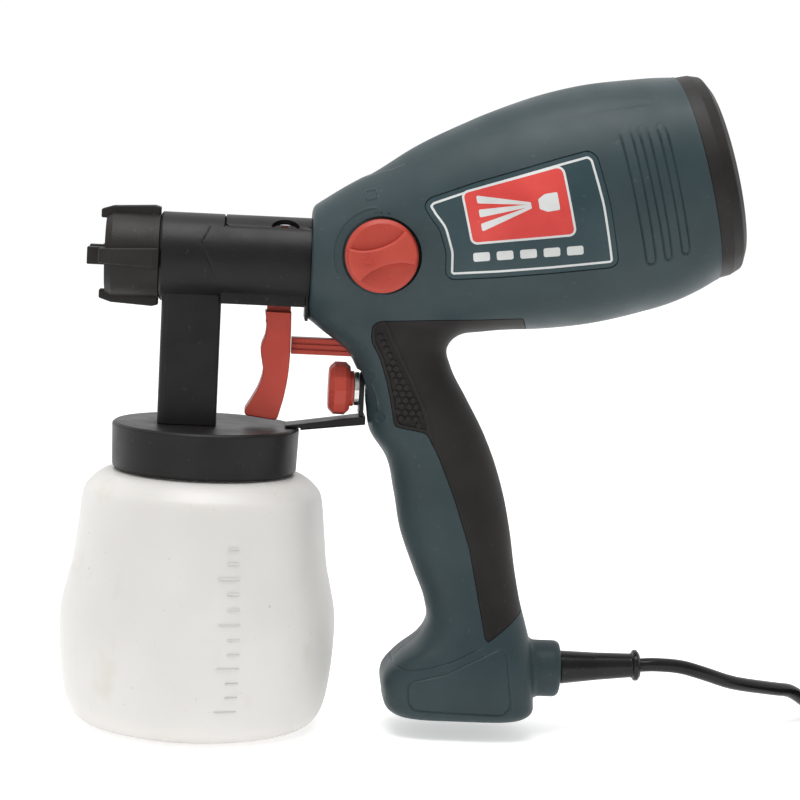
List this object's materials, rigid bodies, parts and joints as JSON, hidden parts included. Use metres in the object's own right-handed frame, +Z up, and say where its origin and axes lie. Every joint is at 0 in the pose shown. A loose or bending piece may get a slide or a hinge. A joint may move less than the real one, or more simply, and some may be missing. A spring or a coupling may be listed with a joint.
{
  "type": "electric turbine spray gun",
  "caption": "Hand-held electric turbine paint sprayer: teal two-shell motor handle, black detachable spray head, red trigger and knobs, milky screw-on paint cup, mains lead.",
  "frame": {"origin": "centre of the paint cup's flat base", "axes": "+Z up, the nozzle points along -X, the gun's left side faces -Y"},
  "size_m": [0.4927, 0.1154, 0.2806],
  "materials": {
    "teal_plastic": "fine texture",
    "black_plastic": "satin",
    "soft_grip": "textured",
    "red_plastic": "satin",
    "milky_plastic": "translucent",
    "label": "smooth",
    "steel": "machined",
    "brass": "drawn",
    "lamination": "lacquered",
    "foam": "open cell",
    "cord_rubber": "glossy",
    "seal_rubber": "matte"
  },
  "bodies": {
    "handle_unit": {"housing_left": "teal_plastic", "housing_right": "teal_plastic", "grip_left": "soft_grip", "grip_right": "soft_grip", "side_label": "label", "rear_cover": "black_plastic", "air_filter": "foam", "motor_stator": "lamination", "bearing_front": "steel", "bearing_rear": "steel", "brush_holder_left": "brass", "brush_holder_right": "brass", "fan_shroud": "black_plastic", "air_duct": "black_plastic", "barrel_socket": "black_plastic", "power_switch": "black_plastic", "switch_lead": "cord_rubber", "cable_clamp": "black_plastic", "strain_relief": "cord_rubber", "power_cord": "cord_rubber", "cord_coil": "cord_rubber", "cord_tail": "cord_rubber", "power_plug": "cord_rubber", "housing_screw_1": "steel", "housing_screw_2": "steel", "housing_screw_3": "steel", "housing_screw_4": "steel", "housing_screw_5": "steel", "housing_screw_6": "steel", "housing_screw_7": "steel"},
    "turbine_rotor": {"motor_rotor": "lamination", "turbine_fan": "black_plastic"},
    "switch_rod": {"switch_rod": "red_plastic"},
    "lock": {"lock_knob": "red_plastic", "lock_cam": "black_plastic"},
    "spray_head": {"barrel": "black_plastic", "stem": "black_plastic", "cup_lid": "black_plastic", "support_arm": "black_plastic", "flow_bracket": "black_plastic", "spindle_washer": "steel", "trigger_pin": "steel", "needle_packing": "seal_rubber", "needle_spring": "steel", "spring_seat": "black_plastic", "barrel_seal": "seal_rubber", "fluid_nozzle": "steel", "pickup_tube": "black_plastic"},
    "trigger": {"trigger": "red_plastic"},
    "needle": {"needle": "steel"},
    "flow_knob": {"flow_knob": "red_plastic"},
    "flow_spindle": {"flow_spindle": "steel"},
    "cap_carrier": {"cap_seal": "seal_rubber"},
    "union_nut": {"union_nut": "black_plastic"},
    "air_cap": {"air_cap": "black_plastic"},
    "cup_carrier": {"cup_gasket": "seal_rubber"},
    "paint_cup": {"paint_cup": "milky_plastic"}
  },
  "joints": [
    {"name": "head_slide", "type": "slide", "parent": "handle_unit", "child": "spray_head", "axis": [-1, 0, 0], "range_m": [0, 0.045]},
    {"name": "trigger_pull", "type": "hinge", "parent": "spray_head", "child": "trigger", "pos_m": [0.0293, 0, 0.206], "axis": [0, -1, 0], "range_deg": [0, 8], "stiffness_Nm_per_rad": 0.6, "springref_deg": -8.59},
    {"name": "needle_slide", "type": "slide", "parent": "spray_head", "child": "needle", "axis": [1, 0, 0], "range_m": [0, 0.0016], "deforming": ["needle_spring"]},
    {"name": "rod_slide", "type": "slide", "parent": "handle_unit", "child": "switch_rod", "axis": [1, 0, 0], "range_m": [0, 0.007]},
    {"name": "flow_knob_turn", "type": "hinge", "parent": "spray_head", "child": "flow_knob", "pos_m": [0.055, 0, 0.1436], "axis": [-1, 0, 0], "range_deg": [0, 1080]},
    {"name": "flow_spindle_slide", "type": "slide", "parent": "spray_head", "child": "flow_spindle", "axis": [-1, 0, 0], "range_m": [0, 0.0046]},
    {"name": "cap_unscrew", "type": "slide", "parent": "spray_head", "child": "cap_carrier", "axis": [-1, 0, 0], "range_m": [0, 0.0061]},
    {"name": "union_nut_turn", "type": "hinge", "parent": "cap_carrier", "child": "union_nut", "pos_m": [-0.03, 0, 0.1955], "axis": [-1, 0, 0], "range_deg": [0, 720]},
    {"name": "air_cap_turn", "type": "hinge", "parent": "cap_carrier", "child": "air_cap", "pos_m": [-0.04, 0, 0.1955], "axis": [-1, 0, 0], "range_deg": [0, 90]},
    {"name": "cup_lower", "type": "slide", "parent": "spray_head", "child": "cup_carrier", "axis": [0, 0, -1], "range_m": [0, 0.0076]},
    {"name": "cup_turn", "type": "hinge", "parent": "cup_carrier", "child": "paint_cup", "pos_m": [0, 0, 0.05], "axis": [0, 0, 1], "range_deg": [0, 540]},
    {"name": "lock_turn", "type": "hinge", "parent": "handle_unit", "child": "lock", "pos_m": [0.0687, -0.03, 0.2012], "axis": [0, 1, 0], "range_deg": [0, 60]},
    {"name": "rotor_spin", "type": "hinge", "parent": "handle_unit", "child": "turbine_rotor", "pos_m": [0.1989, 0, 0.238], "axis": [0.9636, 0, 0.2672], "continuous": true}
  ],
  "couplings": [
    {"joint": "needle_slide", "follows": "trigger_pull", "m_per_rad": 0.0105},
    {"joint": "rod_slide", "follows": "trigger_pull", "m_per_rad": 0.0487},
    {"joint": "flow_spindle_slide", "follows": "flow_knob_turn", "m_per_rad": 0.00023873},
    {"joint": "cap_unscrew", "follows": "union_nut_turn", "m_per_rad": 0.00047746},
    {"joint": "cup_lower", "follows": "cup_turn", "m_per_rad": 0.00079577}
  ]
}
